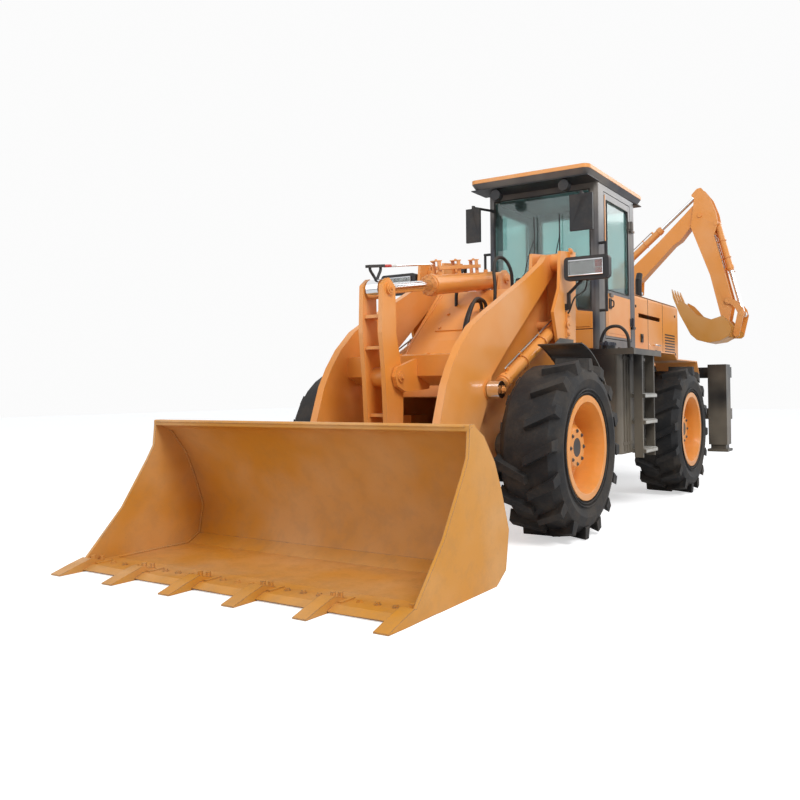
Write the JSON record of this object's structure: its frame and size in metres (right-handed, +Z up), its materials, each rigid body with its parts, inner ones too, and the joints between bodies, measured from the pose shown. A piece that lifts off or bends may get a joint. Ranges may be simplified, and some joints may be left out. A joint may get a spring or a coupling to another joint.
{
  "type": "articulated backhoe loader",
  "caption": "Articulated wheeled backhoe loader: front bucket on a Z-bar linkage, glazed cab, side-shift backhoe and stabilizers.",
  "frame": {"origin": "on the ground, at the middle of the whole machine's length and width", "axes": "+X forward, +Y to the machine's left, +Z up"},
  "size_m": [7.242, 2.174, 3.3179],
  "materials": {
    "orange_paint": "gloss machine paint, worn at the edges",
    "ochre_paint": "worn ochre paint over steel",
    "black_paint": "satin black paint",
    "dark_blue_paint": "satin dark blue-grey paint",
    "black_plastic": "moulded black plastic",
    "seat_fabric": "dark seat cloth",
    "cab_glass": "tinted safety glass",
    "chrome_rod": "polished chrome",
    "engine_iron": "painted cast iron",
    "tyre_rubber": "worn black rubber"
  },
  "bodies": {
    "rear_body": {"rear_frame": "black_paint", "rear_axle": "black_paint", "cab_shell": "dark_blue_paint", "cab_roof": "orange_paint", "cab_glass": "cab_glass", "seat": "seat_fabric", "console": "black_plastic", "hood": "orange_paint", "engine": "engine_iron", "tank_left": "black_paint", "tank_right": "black_paint", "rear_fenders": "orange_paint", "mirrors": "black_paint", "cab_fittings": "black_paint", "slide_frame": "black_paint"},
    "front_body": {"front_frame": "orange_paint", "tower_left": "orange_paint", "tower_right": "orange_paint", "tie_lugs": "orange_paint", "front_axle": "black_paint", "front_fenders": "black_paint", "headlamps": "black_plastic"},
    "arms": {"lift_arms": "orange_paint"},
    "bellcrank_body": {"bellcrank": "orange_paint"},
    "tilt_link_body": {"tilt_link": "black_paint"},
    "bucket_body": {"bucket": "ochre_paint"},
    "tilt_barrel_body": {"tilt_barrel": "orange_paint"},
    "tilt_rod_body": {"tilt_rod": "chrome_rod"},
    "carriage_body": {"carriage": "black_paint"},
    "kingpost_body": {"kingpost": "orange_paint"},
    "boom_body": {"boom": "orange_paint"},
    "dipper_body": {"dipper": "orange_paint"},
    "hoe_bucket_body": {"hoe_bucket": "ochre_paint"},
    "hoe_lever_body": {"hoe_lever": "orange_paint"},
    "hoe_link_body": {"hoe_link": "orange_paint"},
    "wheel_front_left": {"tyre_front_left": "tyre_rubber", "rim_front_left": "orange_paint"},
    "wheel_front_right": {"tyre_front_right": "tyre_rubber", "rim_front_right": "orange_paint"},
    "wheel_rear_left": {"tyre_rear_left": "tyre_rubber", "rim_rear_left": "orange_paint"},
    "wheel_rear_right": {"tyre_rear_right": "tyre_rubber", "rim_rear_right": "orange_paint"},
    "lift_barrel_left_body": {"lift_barrel_left": "orange_paint"},
    "lift_rod_left_body": {"lift_rod_left": "chrome_rod"},
    "door_left_body": {"door_left": "dark_blue_paint", "door_glass_left": "cab_glass"},
    "leg_left_body": {"leg_left": "black_paint"},
    "lift_barrel_right_body": {"lift_barrel_right": "orange_paint"},
    "lift_rod_right_body": {"lift_rod_right": "chrome_rod"},
    "door_right_body": {"door_right": "dark_blue_paint", "door_glass_right": "cab_glass"},
    "leg_right_body": {"leg_right": "black_paint"},
    "boom_cyl_barrel_body": {"boom_cyl_barrel": "orange_paint"},
    "boom_cyl_rod_body": {"boom_cyl_rod": "chrome_rod"},
    "dipper_cyl_barrel_body": {"dipper_cyl_barrel": "orange_paint"},
    "dipper_cyl_rod_body": {"dipper_cyl_rod": "chrome_rod"},
    "bucket_cyl_barrel_body": {"bucket_cyl_barrel": "orange_paint"},
    "bucket_cyl_rod_body": {"bucket_cyl_rod": "chrome_rod"}
  },
  "joints": [
    {"name": "steering", "type": "hinge", "parent": "rear_body", "child": "front_body", "pos_m": [0.112, 0, 0.575], "axis": [0, 0, 1], "range_deg": [-30, 30]},
    {"name": "wheel_front_left_spin", "type": "hinge", "parent": "front_body", "child": "wheel_front_left", "pos_m": [1.38, 0.838, 0.575], "axis": [0, 1, 0], "continuous": true},
    {"name": "wheel_front_right_spin", "type": "hinge", "parent": "front_body", "child": "wheel_front_right", "pos_m": [1.38, -0.838, 0.575], "axis": [0, 1, 0], "continuous": true},
    {"name": "wheel_rear_left_spin", "type": "hinge", "parent": "rear_body", "child": "wheel_rear_left", "pos_m": [-1.156, 0.838, 0.575], "axis": [0, 1, 0], "continuous": true},
    {"name": "wheel_rear_right_spin", "type": "hinge", "parent": "rear_body", "child": "wheel_rear_right", "pos_m": [-1.156, -0.838, 0.575], "axis": [0, 1, 0], "continuous": true},
    {"name": "lift", "type": "hinge", "parent": "front_body", "child": "arms", "pos_m": [0.685, 0, 1.895], "axis": [0, -1, 0], "range_deg": [0, 75]},
    {"name": "bucket_tilt", "type": "hinge", "parent": "arms", "child": "bucket_body", "pos_m": [2.53, 0, 0.265], "axis": [0, 1, 0], "range_deg": [-40, 75]},
    {"name": "bellcrank_turn", "type": "hinge", "parent": "arms", "child": "bellcrank_body", "pos_m": [2.16, 0, 1.033], "axis": [0, 1, 0], "range_deg": [-25.1, 13.4]},
    {"name": "tilt_link_turn", "type": "hinge", "parent": "bellcrank_body", "child": "tilt_link_body", "pos_m": [2.2, 0, 0.415], "axis": [0, 1, 0], "range_deg": [-30.1, 56.5]},
    {"name": "tilt_barrel_turn", "type": "hinge", "parent": "front_body", "child": "tilt_barrel_body", "pos_m": [0.72, 0, 1.8], "axis": [0, -1, 0], "range_deg": [0, 78.6]},
    {"name": "tilt_rod_slide", "type": "slide", "parent": "tilt_barrel_body", "child": "tilt_rod_body", "axis": [0.9885, 0, -0.1511], "range_m": [-0.23, 0.123]},
    {"name": "lift_barrel_left_turn", "type": "hinge", "parent": "front_body", "child": "lift_barrel_left_body", "pos_m": [0.755, 0.541, 1.42], "axis": [0, -1, 0], "range_deg": [0, 80.8]},
    {"name": "lift_rod_left_slide", "type": "slide", "parent": "lift_barrel_left_body", "child": "lift_rod_left_body", "axis": [0.8972, 0, -0.4416], "range_m": [0, 0.622]},
    {"name": "door_left_hinge", "type": "hinge", "parent": "rear_body", "child": "door_left_body", "pos_m": [-0.985, 0.537, 2.0125], "axis": [0, 0, 1], "range_deg": [0, 80]},
    {"name": "lift_barrel_right_turn", "type": "hinge", "parent": "front_body", "child": "lift_barrel_right_body", "pos_m": [0.755, -0.541, 1.42], "axis": [0, -1, 0], "range_deg": [0, 80.8]},
    {"name": "lift_rod_right_slide", "type": "slide", "parent": "lift_barrel_right_body", "child": "lift_rod_right_body", "axis": [0.8972, 0, -0.4416], "range_m": [0, 0.622]},
    {"name": "door_right_hinge", "type": "hinge", "parent": "rear_body", "child": "door_right_body", "pos_m": [-0.985, -0.537, 2.0125], "axis": [0, 0, -1], "range_deg": [0, 80]},
    {"name": "side_shift", "type": "slide", "parent": "rear_body", "child": "carriage_body", "axis": [0, 1, 0], "range_m": [0, 1.52]},
    {"name": "swing", "type": "hinge", "parent": "carriage_body", "child": "kingpost_body", "pos_m": [-3.421, -0.76, 0.83], "axis": [0, 0, 1], "range_deg": [0, 180]},
    {"name": "boom_turn", "type": "hinge", "parent": "kingpost_body", "child": "boom_body", "pos_m": [-3.421, -0.62, 1.18], "axis": [-1, 0, 0], "range_deg": [0, 100]},
    {"name": "dipper_turn", "type": "hinge", "parent": "boom_body", "child": "dipper_body", "pos_m": [-3.421, 0.59, 2.99], "axis": [1, 0, 0], "range_deg": [0, 72]},
    {"name": "hoe_bucket_turn", "type": "hinge", "parent": "dipper_body", "child": "hoe_bucket_body", "pos_m": [-3.421, 0.865, 1.711], "axis": [1, 0, 0], "range_deg": [0, 110]},
    {"name": "hoe_lever_turn", "type": "hinge", "parent": "dipper_body", "child": "hoe_lever_body", "pos_m": [-3.421, 0.89, 1.96], "axis": [1, 0, 0], "range_deg": [0, 96.5]},
    {"name": "hoe_link_turn", "type": "hinge", "parent": "hoe_lever_body", "child": "hoe_link_body", "pos_m": [-3.421, 1.05, 1.8], "axis": [1, 0, 0], "range_deg": [-99.9, 0]},
    {"name": "boom_cyl_turn", "type": "hinge", "parent": "kingpost_body", "child": "boom_cyl_barrel_body", "pos_m": [-3.421, -0.5, 0.84], "axis": [-1, 0, 0], "range_deg": [0, 98.2]},
    {"name": "boom_cyl_slide", "type": "slide", "parent": "boom_cyl_barrel_body", "child": "boom_cyl_rod_body", "axis": [0, 0.2337, 0.9723], "range_m": [-0.57, 0]},
    {"name": "dipper_cyl_turn", "type": "hinge", "parent": "boom_body", "child": "dipper_cyl_barrel_body", "pos_m": [-3.421, -0.47, 2.41], "axis": [1, 0, 0], "range_deg": [-0.7, 0]},
    {"name": "dipper_cyl_slide", "type": "slide", "parent": "dipper_cyl_barrel_body", "child": "dipper_cyl_rod_body", "axis": [0, 0.7681, 0.6403], "range_m": [-0.322, 0]},
    {"name": "bucket_cyl_turn", "type": "hinge", "parent": "dipper_body", "child": "bucket_cyl_barrel_body", "pos_m": [-3.421, 0.775, 2.88], "axis": [1, 0, 0], "range_deg": [0, 8.7]},
    {"name": "bucket_cyl_slide", "type": "slide", "parent": "bucket_cyl_barrel_body", "child": "bucket_cyl_rod_body", "axis": [0, 0.2468, -0.9691], "range_m": [-0.305, 0]},
    {"name": "stabilizer_left_slide", "type": "slide", "parent": "rear_body", "child": "leg_left_body", "axis": [0, 0, -1], "range_m": [0, 0.25]},
    {"name": "stabilizer_right_slide", "type": "slide", "parent": "rear_body", "child": "leg_right_body", "axis": [0, 0, -1], "range_m": [0, 0.25]}
  ],
  "couplings": [
    {"joint": "bellcrank_turn", "follows": "bucket_tilt", "ratio": -0.3184},
    {"joint": "tilt_link_turn", "follows": "bucket_tilt", "ratio": 0.7163},
    {"joint": "tilt_barrel_turn", "follows": "lift", "ratio": 0.9976},
    {"joint": "tilt_rod_slide", "follows": "bucket_tilt", "m_per_rad": -0.16731},
    {"joint": "lift_barrel_left_turn", "follows": "lift", "ratio": 1.0251},
    {"joint": "lift_rod_left_slide", "follows": "lift", "m_per_rad": 0.45182},
    {"joint": "lift_barrel_right_turn", "follows": "lift", "ratio": 1.0251},
    {"joint": "lift_rod_right_slide", "follows": "lift", "m_per_rad": 0.45182},
    {"joint": "hoe_lever_turn", "follows": "hoe_bucket_turn", "ratio": 0.8349},
    {"joint": "hoe_link_turn", "follows": "hoe_bucket_turn", "ratio": -0.8642},
    {"joint": "boom_cyl_turn", "follows": "boom_turn", "ratio": 0.935},
    {"joint": "boom_cyl_slide", "follows": "boom_turn", "m_per_rad": -0.3105},
    {"joint": "dipper_cyl_turn", "follows": "dipper_turn", "ratio": -0.009},
    {"joint": "dipper_cyl_slide", "follows": "dipper_turn", "m_per_rad": -0.2435},
    {"joint": "bucket_cyl_turn", "follows": "hoe_bucket_turn", "ratio": 0.0747},
    {"joint": "bucket_cyl_slide", "follows": "hoe_bucket_turn", "m_per_rad": -0.15081}
  ]
}
